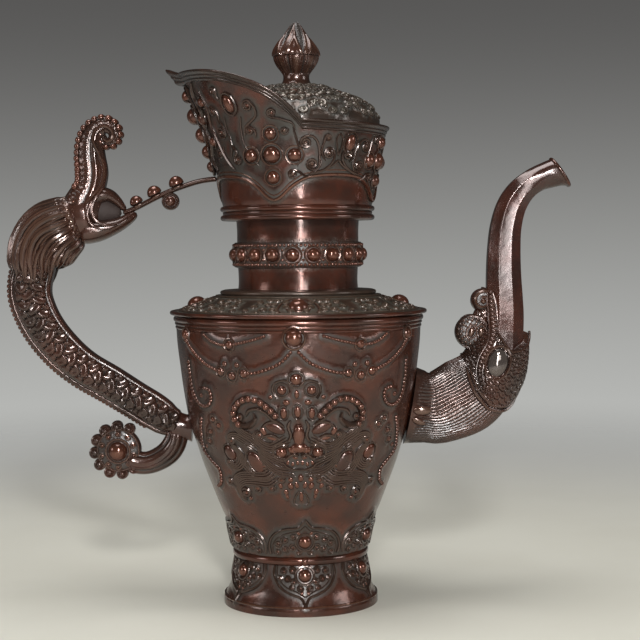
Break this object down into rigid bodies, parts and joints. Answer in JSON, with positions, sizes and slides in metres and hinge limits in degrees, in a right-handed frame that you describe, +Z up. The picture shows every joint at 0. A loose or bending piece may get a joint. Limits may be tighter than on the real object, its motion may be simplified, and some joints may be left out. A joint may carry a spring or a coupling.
{
  "type": "wine ewer",
  "caption": "Tall copper wine ewer with a hollow foot, beaded neck, flared collar with a raised guard, loose domed lid, dragon handle and makara spout.",
  "frame": {"origin": "middle of the whole ewer's length and depth, on the plane that the foot stands on; the vessel's axis stands 4.5 mm from it along +X", "axes": "+Z up along the vessel's axis, +X towards the spout, -X towards the handle, -Y the side shown"},
  "size_m": [0.2932, 0.1338, 0.3007],
  "materials": {
    "brown_copper": "satin, polished on the high spots, grey deposit in the recesses",
    "red_copper": "polished reddish brown",
    "dark_copper": "dull dark brown, grey-green deposit in the recesses",
    "gilt_copper": "worn brassy yellow over dark brown"
  },
  "bodies": {
    "ewer": {"foot_ring": "brown_copper", "vessel_body": "brown_copper", "neck_tube": "brown_copper", "collar_wall": "brown_copper", "handle_body": "brown_copper", "handle_trunk": "brown_copper", "handle_scroll": "brown_copper", "strut_bar": "brown_copper", "spout_socket": "brown_copper", "spout_head": "brown_copper", "foot_seam_ring": "red_copper", "mouth_ring": "red_copper", "shoulder_boss_spout": "red_copper", "shoulder_boss_back": "red_copper", "shoulder_boss_handle": "red_copper", "shoulder_boss_front": "red_copper", "neck_flange": "red_copper", "neck_band": "red_copper", "collar_base_ring": "red_copper", "collar_rim": "red_copper", "handle_ferrule": "red_copper", "handle_spine": "red_copper", "handle_head": "red_copper", "scroll_boss_front": "red_copper", "scroll_boss_back": "red_copper", "strut_boss_1": "red_copper", "strut_boss_2": "red_copper", "strut_boss_3": "red_copper", "strut_pendant": "red_copper", "spout_tube": "red_copper", "spout_jewel_front": "red_copper", "spout_jewel_back": "red_copper", "vessel_floor": "dark_copper", "shoulder_plate": "dark_copper", "collar_apron": "dark_copper", "lid_seat": "dark_copper", "handle_mane": "dark_copper", "spout_crest": "dark_copper"},
    "lid": {"lid_dome": "gilt_copper", "lid_skirt": "dark_copper", "finial_cup": "brown_copper", "finial_bud": "gilt_copper", "finial_pin": "dark_copper"}
  },
  "joints": [
    {"name": "lid_lift", "type": "slide", "parent": "ewer", "child": "lid", "axis": [0, 0, 1], "range_m": [0, 0.08]}
  ]
}
